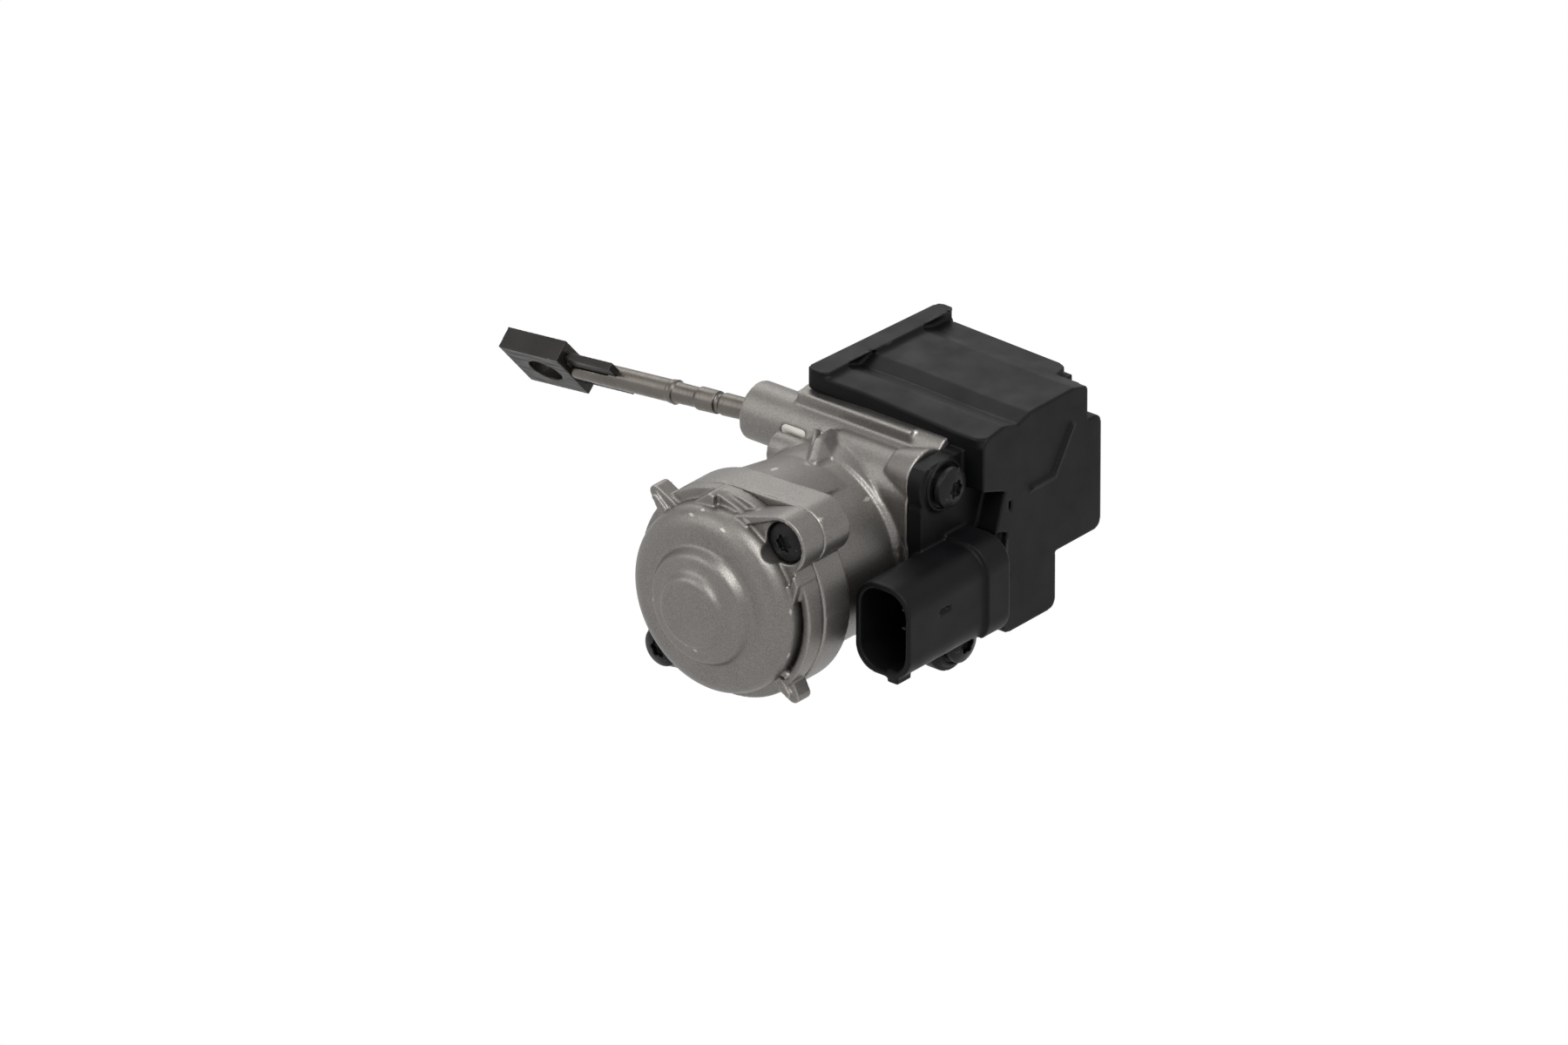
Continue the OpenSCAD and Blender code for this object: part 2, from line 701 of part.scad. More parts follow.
module cover() {
    flange_x = face_x + cover_flange_t;
    box_z = block_top_z + gap;
    plug_back_y = ear_low_y + 5;
    color(black) difference() {
        union() {
            along_x(face_x + gap, flange_x) cover_flange_outline();
            along_x(flange_x - over, cover_face_x) raised_outline(0);
            // Top box and the bead along its left edge
            translate([0, 0, box_z]) linear_extrude(cover_top_z - box_z) roof_outline(0);
            // Wall behind the housing, down from the roof
            translate([-2, rear_wall_y, -step_z])
                cube([face_x + 4, cover_back_y - rear_wall_y, step_z + box_z + over]);
            translate([0, 0, box_z]) linear_extrude(cover_top_z - box_z + strip_rise)
                round_rect([-cover_left, cover_front_y], [-cover_left + strip_w, cover_back_y + 1.5], 2);
            along_x(cover_face_x - over, cover_face_x + 0.7) face_ridge();
            at_ears() rod_x_cyl(0, 0, ear_r - 1.4, face_x + gap - ear_seat_x, -1);
            // Connector shroud with the collar and block at its root
            translate([plug_x, 0, -plug_z]) along_y(plug_mouth_y, plug_back_y) plug_section(0);
            intersection() {
                translate([plug_x, 0, -plug_z]) along_y(plug_back_y - 8, plug_back_y) plug_section(-0.9);
                translate([face_x + gap, 0, -plug_h]) cube([plug_w * 2, cover_back_y, plug_h * 2]);
            }
            translate([face_x + gap, plug_back_y - 5, -plug_z - plug_h / 2 + 2])
                cube([cover_face_x - face_x, 12, plug_h - 6]);
        }
        // Hollow behind the raised face and under the roof
        along_x(face_x - over, cover_face_x - cover_wall) raised_outline(cover_wall);
        translate([0, 0, box_z - over])
            linear_extrude(cover_top_z - box_z - cover_wall + over + 0.4) intersection() {
                roof_outline(cover_wall);
                translate([-cover_left, cover_front_y])
                    square([cover_left + face_x, rear_wall_y - cover_front_y]);
            }
        // Hollow over the gears in the flange
        along_x(face_x - over, flange_x - cover_wall) chamber_outline(block_wall + 0.6);
        // Levels of the roof: a dip, a ramp and a lower back strip
        along_x(-cover_left + 4, cover_face_x + over) polygon([
            [cover_front_y + 7.5, cover_top_z + over], [cover_front_y + 7.5, cover_top_z],
            [cover_front_y + 12.5, cover_top_z - 1.5], [cover_front_y + 17, cover_top_z],
            [cover_front_y + 17, cover_top_z + over]
        ]);
        along_x(-cover_left + 4, cover_face_x + over) polygon([
            [cover_front_y + 33, cover_top_z + over], [cover_front_y + 33, cover_top_z],
            [cover_front_y + 37.5, cover_top_z - 1.3], [cover_back_y + 3, cover_top_z - 1.3],
            [cover_back_y + 3, cover_top_z + over]
        ]);
        // Tapered pockets and a slit along the raised face's front edge
        along_x(cover_face_x - 1.5, cover_face_x + over) for (top = [4.6, -6.7]) {
            pocket_y = cover_front_y + (top > 0 ? 4.8 : 5.6);
            polygon([[pocket_y, top + 0.7], [pocket_y + 4, top - 0.7], [pocket_y + 1, top - 9.6]]);
        }
        along_x(cover_face_x - 1.5, cover_face_x + over)
            translate([cover_front_y + 9.4, 9]) square([0.8, 2.8]);
        // Socket
        translate([plug_x, 0, -plug_z]) along_y(plug_mouth_y - over, plug_mouth_y + plug_depth)
            plug_section(plug_wall);
        // Bores of the ears
        at_ears() {
            rod_x_cyl(0, 0, sleeve_r + fit, face_x - ear_seat_x - over, 1);
            rod_x_cyl(0, 0, screw_head_r + 0.5, -1, 9);
        }
        at_rear() rod_x_cyl(0, 0, sleeve_r + fit, rear_wall_y - rear_seat_y - over, over);
    }
}

module cover_screws() {
    color(black) {
        at_ears() pan_screw(screw_len);
        at_rear() pan_screw(screw_len);
    }
}

module screw_sleeves() {
    color(steel) {
        at_ears() sleeve(ear_seat_x - face_x);
        at_rear() sleeve(rear_seat_y - block_back_y);
    }
}
module sleeve(length) {
    difference() {
        rod_x_cyl(0, 0, sleeve_r, -length, 0);
        rod_x_cyl(0, 0, screw_r + 0.2, -length - over, over);
    }
}

module connector_pins() {
    floor_y = plug_mouth_y + plug_depth;
    color(copper) for (row = [-1, 1], i = [0:pins_per_row - 1]) {
        translate([plug_x + row * 2.4 - 0.8, floor_y - 9, -plug_z + (i - (pins_per_row - 1) / 2) * 4.6 - 0.3])
            cube([1.6, 9, 0.6]);
    }
}

module cover_gasket() {
    color(black) along_x(face_x, face_x + gap) difference() {
        chamber_outline(0.9);
        chamber_outline(2.3);
        for (spot = ear_spots) {
            translate(spot) circle(ear_r);
        }
    }
}

module cap_gasket() {
    color(black) along_y(joint_y, joint_y + gasket_t) gasket_ring(0);
}

module rod_bush() {
    color(nylon) difference() {
        rod_x_cyl(rod_y, rod_z, bush_r_out, seal_end_x + gap, bush_end_x);
        rod_x_cyl(rod_y, rod_z, slider_r + fit, -boss_end_x, 0);
    }
}

module rod_seal() {
    color(black) difference() {
        rod_x_cyl(rod_y, rod_z, bush_r_out, seal_x, seal_end_x);
        rod_x_cyl(rod_y, rod_z, slider_r + 0.3, -boss_end_x, 0);
    }
}

module motor_can() {
    color(steel) difference() {
        union() {
            along_y(can_y, can_back_y) circle(can_r, $fn = 96);
            along_y(can_back_y - over, chamber_y - gap) circle(hub_r);
        }
        along_y(can_y - over, can_back_y - can_wall) circle(can_r - can_wall, $fn = 96);
        along_y(can_back_y - 2, chamber_y + over) circle(bush_r);
    }
}

module motor_end_plate() {
    color(dark_steel) difference() {
        union() {
            along_y(can_y, can_y + 2) circle(magnet_r - fit, $fn = 96);
            along_y(shaft_y - 0.4, can_y + 1) circle(hub_r);
        }
        along_y(shaft_y - 1.4, can_y + 3) circle(bush_r);
    }
}

module motor_magnets() {
    color(dark_steel) along_y(can_y + 0.23 * motor_len, can_back_y - 0.09 * motor_len) difference() {
        circle(magnet_r - fit, $fn = 96);
        circle(magnet_r - magnet_t, $fn = 96);
        for (turn = [0, 180]) {
            rotate(turn) polygon([[0, 0], [30, 12], [30, -12]]);
        }
    }
}

module motor_shaft() {
    color(steel) rod_y_cyl(0, 0, shaft_r, shaft_y, shaft_end_y);
}

module armature() {
    slots = 8;
    slot_l = armature_r / 3;
    slot_w = armature_r / 9;
    color(copper) along_y(can_y + 0.3 * motor_len, can_back_y - 0.16 * motor_len) difference() {
        circle(armature_r, $fn = 96);
        circle(shaft_r);
        for (i = [0:slots - 1]) {
            rotate(i * 360 / slots) translate([armature_r - slot_l, -slot_w / 2]) square([2 * slot_l, slot_w]);
        }
    }
}

module commutator() {
    bars = 8;
    color(copper) along_y(can_y + 0.085 * motor_len, can_y + 0.27 * motor_len) difference() {
        circle(commutator_r);
        circle(shaft_r);
        for (i = [0:bars - 1]) {
            rotate(i * 360 / bars) translate([0.8 * commutator_r, -0.25]) square([commutator_r, 0.5]);
        }
    }
}

module brushes() {
    brush_l = 1.45 * commutator_r;
    brush_w = 0.85 * commutator_r;
    color(dark_steel) for (side = [-1, 1]) {
        translate([side * (commutator_r + gap + brush_l / 2) - brush_l / 2, can_y + 2, -brush_w / 2])
            cube([brush_l, 0.25 * motor_len - 2, brush_w]);
    }
}

module bush(from, to) {
    color(nylon) along_y(from, to) difference() {
        circle(bush_r - 0.01);
        circle(shaft_r + fit);
    }
}
module front_bush() {
    bush(shaft_y + 0.3, can_y + 2);
}
module rear_bush() {
    bush(can_back_y - can_wall, chamber_y - gap);
}

module motor_pinion() {
    color(steel) along_y(first_y, first_y + gear_w) difference() {
        spur(module_1, pinion_teeth, phase_pinion);
        circle(shaft_r);
    }
}

module reduction_gear() {
    color(nylon) translate([reduction_x, 0, reduction_z]) difference() {
        union() {
            along_y(first_y, first_y + gear_w) spur(module_1, large_teeth, phase_large);
            along_y(first_y + gear_w - over, output_y) circle(r_small - 1.5 * module_2);
            along_y(output_y - over, gears_end_y) spur(module_2, small_teeth, phase_small);
        }
        along_y(first_y - over, gears_end_y + over) circle(gear_pin_r + fit);
    }
}

module output_gear() {
    color(nylon) translate([output_x, 0, output_z]) difference() {
        union() {
            along_y(rack_y, output_y) spur(module_3, rack_pinion_teeth, phase_output);
            along_y(output_y, gears_end_y) spur(module_2, output_teeth, phase_output);
            along_y(first_y, rack_y + over) circle(gear_pin_r + 1.6);
        }
        along_y(first_y - over, gears_end_y + over) circle(gear_pin_r + fit);
    }
}

module gear_pins() {
    color(steel) for (spot = [[reduction_x, reduction_z], [output_x, output_z]]) {
        rod_y_cyl(spot[0], spot[1], gear_pin_r, block_front_y + 0.8, pin_end_y);
    }
}

// The slider: a round bar with a rack cut in its underside, a magnet holder behind it
// and the socket of the rod's ball in its outer end
module rack_slider() {
    pitch_z = rod_z - rack_drop;
    gap_x = output_x + rack_shift * rack_pitch;
    before = floor((gap_x - rack_x) / rack_pitch);
    first = gap_x - before * rack_pitch;
    count = floor((slider_end_x - first) / rack_pitch) + 2;
    color(nylon) difference() {
        union() {
            rod_x_cyl(rod_y, rod_z, slider_r, slider_x, slider_end_x);
            translate([slider_end_x - holder_l, rod_y + over, rod_z + slider_r - 0.1])
                cube([holder_l, holder_w, holder_z - rod_z - slider_r + 0.1]);
            translate([slider_end_x - holder_l, rod_y + over, rod_z + slider_r - 1.6])
                cube([holder_l, output_y - rod_y - over - gap, 2]);
        }
        // Pocket of the magnet
        translate([slider_end_x - holder_l + magnet_inset, rod_y + over + magnet_inset, holder_z - 1.6])
            cube([holder_l - 2 * magnet_inset, holder_w - 2 * magnet_inset, 3]);
        // Flat along the teeth
        translate([rack_x - module_3, rack_y - over, rod_z - slider_r - over])
            cube([slider_end_x - rack_x + 3, 3 * slider_r, slider_r + over - rack_drop - 0.85 * module_3]);
        // Gaps between the teeth
        for (i = [0:count - 1]) {
            x = first + i * rack_pitch;
            along_y(rack_y - over, rack_back_y + over) polygon([
                [x - rack_pitch / 4 - 0.48 * module_3, pitch_z - 1.1 * module_3],
                [x - rack_pitch / 4 + 0.42 * module_3, pitch_z + 1.1 * module_3],
                [x + rack_pitch / 4 - 0.42 * module_3, pitch_z + 1.1 * module_3],
                [x + rack_pitch / 4 + 0.48 * module_3, pitch_z - 1.1 * module_3]
            ]);
        }
        // Socket of the rod's ball, open toward the boss's mouth
        translate([ball_x, rod_y, rod_z]) sphere(ball_r + 0.05);
        translate([slider_x - over, rod_y, rod_z]) rotate([0, 90, 0])
            cylinder(h = -slider_x + ball_x + over, r1 = rod_r + 0.9, r2 = rod_r + 0.1);
    }
}

module position_magnet() {
    room = magnet_inset + fit;
    color(dark_steel) translate([slider_end_x - holder_l + room, rod_y + over + room, holder_z - 1.6])
        cube([holder_l - 2 * room, holder_w - 2 * room, 1.6]);
}

module sensor_board() {
    board_w = cover_left + face_x - 2 * cover_wall - 2;
    board_l = 0.6 * (cover_back_y - cover_front_y);
    color("darkgreen") translate([-cover_left + cover_wall + 1, cover_front_y + cover_wall + 1, block_top_z + 0.5])
        cube([board_w, board_l, 1.2]);
}

// The rod points along -x from its ball, hung down by the droop
module along_rod() {
    translate([ball_x, rod_y, rod_z]) rotate([0, -rod_droop, 0]) rotate([0, 0, 180]) children();
}
module rod_profile() {
    neck = ball_depth + 12;
    polygon([
        [0, ball_r * 0.6], [rod_r - 0.6, ball_r * 0.6], [rod_r - 0.6, ball_depth - 2],
        [rod_r, ball_depth - 1], [rod_r, neck - 4], [rod_r - 0.5, neck - 3.6],
        [rod_r - 0.5, neck - 2.6], [rod_r, neck - 2.6], [rod_r, neck + 2],
        [rod_r - 0.35, neck + 2.4], [rod_r - 0.35, neck + 8], [rod_r + 0.2, neck + 8.4],
        [rod_r + 0.2, neck + 10], [rod_r + 0.05, neck + 10.4],
        [rod_r + 0.05, rod_len - end_l + 1], [0, rod_len - end_l + 1]
    ]);
}
module push_rod() {
    color(steel) along_rod() difference() {
        union() {
            sphere(ball_r);
            rotate([0, 90, 0]) rotate_extrude() rod_profile();
        }
        rotate([-block_roll, 0, 0]) translate([rod_len - end_l - tongue_l, -tongue_t / 2, -rod_r * 2])
            cube([tongue_l + 2, tongue_t, rod_r * 4]);
    }
}

module rod_end_block() {
    block_x = rod_len - end_l;
    color(dark_steel) along_rod() rotate([-block_roll, 0, 0]) {
        difference() {
            union() {
                translate([block_x + 1, -end_t / 2, -end_h / 2]) cube([end_l - 1, end_t, end_h]);
                translate([block_x - tongue_l, -tongue_t / 2, -tongue_h / 2])
                    cube([tongue_l + 2, tongue_t, tongue_h]);
            }
            translate([block_x + end_l / 2, end_t, 0]) rotate([90, 0, 0])
                cylinder(h = 2 * end_t, r = end_hole_r);
        }
    }
}

placed() gear_housing();
placed() motor_cap();
placed() cap_screws();
placed() cover();
placed() cover_screws();
placed() screw_sleeves();
placed() connector_pins();
placed() cover_gasket();
placed() cap_gasket();
placed() rod_bush();
placed() rod_seal();
placed() motor_can();
placed() motor_end_plate();
placed() motor_magnets();
placed() motor_shaft();
placed() armature();
placed() commutator();
placed() brushes();
placed() front_bush();
placed() rear_bush();
placed() motor_pinion();
placed() reduction_gear();
placed() output_gear();
placed() gear_pins();
placed() rack_slider();
placed() position_magnet();
placed() sensor_board();
placed() push_rod();
placed() rod_end_block();
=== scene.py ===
import json
from math import cos, radians, sin
import bmesh
import bpy
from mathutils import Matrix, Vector


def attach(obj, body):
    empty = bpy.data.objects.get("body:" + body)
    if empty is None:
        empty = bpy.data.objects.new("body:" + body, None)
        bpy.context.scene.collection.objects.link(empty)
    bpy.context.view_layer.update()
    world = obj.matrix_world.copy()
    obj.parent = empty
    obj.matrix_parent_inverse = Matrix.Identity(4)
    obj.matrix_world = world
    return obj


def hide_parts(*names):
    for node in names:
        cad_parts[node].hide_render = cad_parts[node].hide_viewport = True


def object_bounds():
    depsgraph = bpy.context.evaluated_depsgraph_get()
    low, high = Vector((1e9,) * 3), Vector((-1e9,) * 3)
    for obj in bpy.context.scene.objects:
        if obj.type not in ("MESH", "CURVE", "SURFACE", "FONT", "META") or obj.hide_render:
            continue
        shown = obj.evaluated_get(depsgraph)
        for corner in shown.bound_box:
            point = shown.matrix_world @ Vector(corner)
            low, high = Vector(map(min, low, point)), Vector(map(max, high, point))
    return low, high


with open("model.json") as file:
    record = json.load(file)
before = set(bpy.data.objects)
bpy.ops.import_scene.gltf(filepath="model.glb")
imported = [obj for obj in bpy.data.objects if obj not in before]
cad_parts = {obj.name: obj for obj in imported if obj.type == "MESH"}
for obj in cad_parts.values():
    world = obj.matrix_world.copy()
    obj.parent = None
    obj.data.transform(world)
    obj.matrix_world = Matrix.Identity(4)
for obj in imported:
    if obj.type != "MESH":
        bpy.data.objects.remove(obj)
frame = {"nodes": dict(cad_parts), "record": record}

cad_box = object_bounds()
MM = 0.001

# Camera: a long lens from the cap's end, above the cover's side. The frame's origin is on the
# housing's left wall, so the aim is a point a little in front of and above it.
aim = Vector((6.8, -7.8, 13.0)) * MM
azimuth, elevation, distance = radians(-50.5), radians(26.7), 6.0
toward_camera = Vector((cos(elevation) * cos(azimuth), cos(elevation) * sin(azimuth), sin(elevation)))
lens = bpy.data.cameras.new("camera")
lens.lens = 600
lens.sensor_width = 36
lens.clip_end = 50
camera = bpy.data.objects.new("camera", lens)
camera.location = aim + distance * toward_camera
camera.rotation_euler = toward_camera.to_track_quat("Z", "Y").to_euler()
bpy.context.collection.objects.link(camera)
bpy.context.scene.camera = camera
bpy.context.scene.view_settings.view_transform = "Standard"

# Stage: a wide flat pale floor, white where the camera or a gloss sees it.
floor_z = cad_box[0][2] - 0.5 * MM
floor_mesh = bpy.data.meshes.new("floor")
floor_form = bmesh.new()
bmesh.ops.create_grid(floor_form, x_segments=1, y_segments=1, size=4)
floor_form.to_mesh(floor_mesh)
floor_form.free()
floor = bpy.data.objects.new("floor", floor_mesh)
floor.location = (0, 0, floor_z)
bpy.context.collection.objects.link(floor)


def white_to_rays(tree, lit, white, output):
    """Shows white to camera, gloss and transmission rays, and lit to all others."""
    paths = tree.nodes.new("ShaderNodeLightPath")
    most = tree.nodes.new("ShaderNodeMath")
    most.operation = "MAXIMUM"
    either = tree.nodes.new("ShaderNodeMath")
    either.operation = "MAXIMUM"
    tree.links.new(paths.outputs["Is Camera Ray"], most.inputs[0])
    tree.links.new(paths.outputs["Is Glossy Ray"], most.inputs[1])
    tree.links.new(most.outputs[0], either.inputs[0])
    tree.links.new(paths.outputs["Is Transmission Ray"], either.inputs[1])
    mix = tree.nodes.new("ShaderNodeMixShader")
    tree.links.new(either.outputs[0], mix.inputs[0])
    tree.links.new(lit.outputs[0], mix.inputs[1])
    tree.links.new(white.outputs[0], mix.inputs[2])
    tree.links.new(mix.outputs[0], output.inputs["Surface"])


floor_look = bpy.data.materials.new("pale_floor")
floor_look.use_nodes = True
tree = floor_look.node_tree
floor_shader = tree.nodes["Principled BSDF"]
floor_shader.inputs["Base Color"].default_value = (0.9, 0.9, 0.9, 1)
floor_shader.inputs["Roughness"].default_value = 0.8
white_to_rays(tree, floor_shader, tree.nodes.new("ShaderNodeEmission"), tree.nodes["Material Output"])
floor_mesh.materials.append(floor_look)

world = bpy.data.worlds.new("studio")
world.use_nodes = True
bpy.context.scene.world = world
tree = world.node_tree
air = tree.nodes["Background"]
air.inputs["Color"].default_value = (1, 1, 1, 1)
air.inputs["Strength"].default_value = 0.22
backdrop = tree.nodes.new("ShaderNodeBackground")
backdrop.inputs["Strength"].default_value = 1.0
white_to_rays(tree, air, backdrop, tree.nodes["World Output"])

# Lamps: a broad soft box from the upper left of the camera, a weaker one from the right, and a
# strip from behind that draws the edges of the black cover.
for name, bearing, height, power, size in [
        ("key", -25, 56, 15, 0.8), ("fill", -125, 35, 7, 1.2), ("rim", 140, 40, 5, 0.9)]:
    lamp = bpy.data.lights.new(name, "AREA")
    lamp.energy = power
    lamp.size = size
    place = Vector((cos(radians(height)) * cos(radians(bearing)),
                    cos(radians(height)) * sin(radians(bearing)), sin(radians(height))))
    lamp_object = bpy.data.objects.new(name, lamp)
    lamp_object.location = aim + 1.5 * place
    lamp_object.rotation_euler = place.to_track_quat("Z", "Y").to_euler()
    bpy.context.collection.objects.link(lamp_object)


def material(name, colour, metallic, roughness):
    """A new material, with its node tree and its shader."""
    look = bpy.data.materials.new(name)
    look.use_nodes = True
    shader = look.node_tree.nodes["Principled BSDF"]
    shader.inputs["Base Color"].default_value = (*colour, 1)
    shader.inputs["Metallic"].default_value = metallic
    shader.inputs["Roughness"].default_value = roughness
    return look, look.node_tree, shader


def noise(tree, scale, detail=3, stretch=(1, 1, 1)):
    """Noise in the object's own metres: scale is how many blotches fit in a metre."""
    place = tree.nodes.new("ShaderNodeTexCoord")
    mapping = tree.nodes.new("ShaderNodeMapping")
    mapping.inputs["Scale"].default_value = stretch
    texture = tree.nodes.new("ShaderNodeTexNoise")
    texture.inputs["Scale"].default_value = scale
    texture.inputs["Detail"].default_value = detail
    tree.links.new(place.outputs["Object"], mapping.inputs["Vector"])
    tree.links.new(mapping.outputs[0], texture.inputs["Vector"])
    return texture.outputs["Fac"]


def ramp(tree, value, stops):
    """A colour or grey value for each stop (position, colour) of value."""
    scale = tree.nodes.new("ShaderNodeValToRGB")
    scale.color_ramp.elements[0].position = stops[0][0]
    scale.color_ramp.elements[1].position = stops[-1][0]
    for stop in stops[1:-1]:
        scale.color_ramp.elements.new(stop[0])
    for element, stop in zip(scale.color_ramp.elements, stops):
        colour = stop[1] if isinstance(stop[1], tuple) else (stop[1],) * 3
        element.color = (*colour, 1)
    tree.links.new(value, scale.inputs[0])
    return scale.outputs[0]


def blend(tree, amount, low, high, kind="MIX"):
    """low turns into high by amount."""
    mixer = tree.nodes.new("ShaderNodeMix")
    mixer.data_type = "RGBA"
    mixer.blend_type = kind
    for socket, value in ((mixer.inputs[0], amount), (mixer.inputs[6], low), (mixer.inputs[7], high)):
        if hasattr(value, "is_linked"):
            tree.links.new(value, socket)
        elif isinstance(value, tuple):
            socket.default_value = (*value, 1)
        else:
            socket.default_value = value
    return mixer.outputs[2]


def bump(tree, shader, *layers):
    """Raises the surface by each (height, metres) in turn."""
    before = None
    for height, depth in layers:
        raised = tree.nodes.new("ShaderNodeBump")
        raised.inputs["Distance"].default_value = depth
        tree.links.new(height, raised.inputs["Height"])
        if before:
            tree.links.new(before, raised.inputs["Normal"])
        before = raised.outputs[0]
    tree.links.new(before, shader.inputs["Normal"])


def edges(tree, low, high):
    """Mask for a painted highlight: 0 on flats and in hollows, 1 along sharp outward edges."""
    form = tree.nodes.new("ShaderNodeNewGeometry")
    return ramp(tree, form.outputs["Pointiness"], [(low, 0.0), (high, 1.0)])


# Cast housing and cap: die-cast aluminium, blasted to an even fine grain. Its sharp edges are
# drawn lighter than its flats and hollows, a painted highlight.
def cast_aluminium():
    look, tree, shader = material("cast_aluminium", (0.55, 0.54, 0.52), 1.0, 0.45)
    cloud = noise(tree, 90, 4)
    grain = noise(tree, 3200, 2)
    sparkle = noise(tree, 5200, 1)
    base = blend(tree, cloud, (0.135, 0.126, 0.117), (0.20, 0.190, 0.178))
    base = blend(tree, ramp(tree, grain, [(0.35, 0.0), (0.7, 1.0)]), base, (0.235, 0.224, 0.211))
    # Painted highlight: sharp outward edges get a lighter colour.
    base = blend(tree, edges(tree, 0.52, 0.60), base, (0.44, 0.42, 0.395))
    tree.links.new(base, shader.inputs["Base Color"])
    rough = ramp(tree, sparkle, [(0.3, 0.36), (0.75, 0.56)])
    tree.links.new(rough, shader.inputs["Roughness"])
    bump(tree, shader, (cloud, 0.00012), (grain, 0.00003))
    return look


# Cover: glass-filled nylon out of an eroded mould, almost black, with a satin skin.
def black_nylon():
    look, tree, shader = material("black_nylon", (0.006, 0.0063, 0.0067), 0.0, 0.5)
    shader.inputs["Specular IOR Level"].default_value = 0.14
    cloud = noise(tree, 120, 3)
    grain = noise(tree, 4200, 2)
    base = blend(tree, cloud, (0.0028, 0.0030, 0.0034), (0.0055, 0.0058, 0.0063))
    # Painted highlight: sharp outward edges get a lighter colour.
    base = blend(tree, edges(tree, 0.53, 0.62), base, (0.020, 0.021, 0.022))
    tree.links.new(base, shader.inputs["Base Color"])
    rough = ramp(tree, cloud, [(0.3, 0.42), (0.7, 0.56)])
    tree.links.new(rough, shader.inputs["Roughness"])
    bump(tree, shader, (cloud, 0.00005), (grain, 0.000015))
    return look


# Screws: steel with a black zinc skin, a little glossier than the cover.
def black_steel():
    look, tree, shader = material("black_steel", (0.008, 0.008, 0.0085), 0.0, 0.4)
    shader.inputs["Specular IOR Level"].default_value = 0.18
    cloud = noise(tree, 500, 3)
    base = blend(tree, cloud, (0.005, 0.005, 0.0055), (0.013, 0.013, 0.0135))
    # Painted highlight: sharp outward edges get a lighter colour.
    base = blend(tree, edges(tree, 0.53, 0.62), base, (0.05, 0.05, 0.05))
    tree.links.new(base, shader.inputs["Base Color"])
    tree.links.new(ramp(tree, cloud, [(0.3, 0.32), (0.7, 0.5)]), shader.inputs["Roughness"])
    bump(tree, shader, (noise(tree, 2500, 2), 0.00001))
    return look


# Push rod: turned steel, its rings across the rod, tarnished to a warm grey, with a painted highlight in lighter
# grey along its edges.
def turned_steel(name="turned_steel", along=(1, 0.04, 0.04), low=(0.105, 0.094, 0.083), high=(0.175, 0.160, 0.144)):
    look, tree, shader = material(name, low, 1.0, 0.35)
    lines = noise(tree, 2600, 2, along)
    cloud = noise(tree, 200, 3)
    base = blend(tree, cloud, low, high)
    # Painted highlight: sharp outward edges get a lighter colour.
    base = blend(tree, edges(tree, 0.62, 0.75), base, (0.45, 0.43, 0.40))
    tree.links.new(base, shader.inputs["Base Color"])
    tree.links.new(ramp(tree, lines, [(0.3, 0.26), (0.7, 0.44)]), shader.inputs["Roughness"])
    bump(tree, shader, (lines, 0.00001))
    return look


# Rod end and motor plate: steel with a dark phosphate skin, drawn lighter grey along its edges as a painted
# highlight.
def phosphated_steel():
    look, tree, shader = material("phosphated_steel", (0.05, 0.048, 0.045), 0.8, 0.45)
    cloud = noise(tree, 160, 4)
    scratches = noise(tree, 1500, 2, (0.08, 1, 1))
    base = blend(tree, cloud, (0.020, 0.019, 0.018), (0.040, 0.038, 0.035))
    # Painted highlight: sharp outward edges get a lighter colour.
    base = blend(tree, edges(tree, 0.54, 0.64), base, (0.14, 0.135, 0.125))
    tree.links.new(base, shader.inputs["Base Color"])
    tree.links.new(ramp(tree, scratches, [(0.35, 0.34), (0.65, 0.55)]), shader.inputs["Roughness"])
    bump(tree, shader, (scratches, 0.00001), (noise(tree, 3000, 2), 0.00001))
    return look


def plain(name, colour, metallic, roughness, scale=900, depth=0.00001):
    """A look for pieces that sit inside: mottled, with a fine grain."""
    look, tree, shader = material(name, colour, metallic, roughness)
    cloud = noise(tree, scale / 6, 3)
    darker = tuple(0.75 * part for part in colour)
    tree.links.new(blend(tree, cloud, darker, colour), shader.inputs["Base Color"])
    tree.links.new(ramp(tree, cloud, [(0.3, roughness - 0.08), (0.7, roughness + 0.08)]),
                   shader.inputs["Roughness"])
    bump(tree, shader, (noise(tree, scale * 3, 2), depth))
    return look


looks = {
    "cast_aluminium": cast_aluminium(),
    "black_nylon": black_nylon(),
    "black_steel": black_steel(),
    "bright_steel": turned_steel(),
    "dark_steel": phosphated_steel(),
    "ferrite": plain("ferrite", (0.06, 0.06, 0.06), 0.3, 0.6),
    "carbon": plain("carbon", (0.03, 0.03, 0.03), 0.0, 0.5),
    "copper": plain("copper", (0.72, 0.38, 0.22), 1.0, 0.35),
    "bronze": plain("bronze", (0.50, 0.36, 0.18), 1.0, 0.5),
    "white_nylon": plain("white_nylon", (0.75, 0.73, 0.66), 0.0, 0.45),
    "rubber": plain("rubber", (0.015, 0.015, 0.015), 0.0, 0.7),
    "board": plain("board", (0.02, 0.14, 0.05), 0.0, 0.4),
}
for part in frame["record"]["subparts"]:
    for slot in frame["nodes"][part["node"]].material_slots:
        slot.material = looks[part["material_slot"]]
for slot in frame["nodes"]["connector_pins"].material_slots:
    slot.material = plain("tinned_copper", (0.30, 0.29, 0.27), 1.0, 0.4)


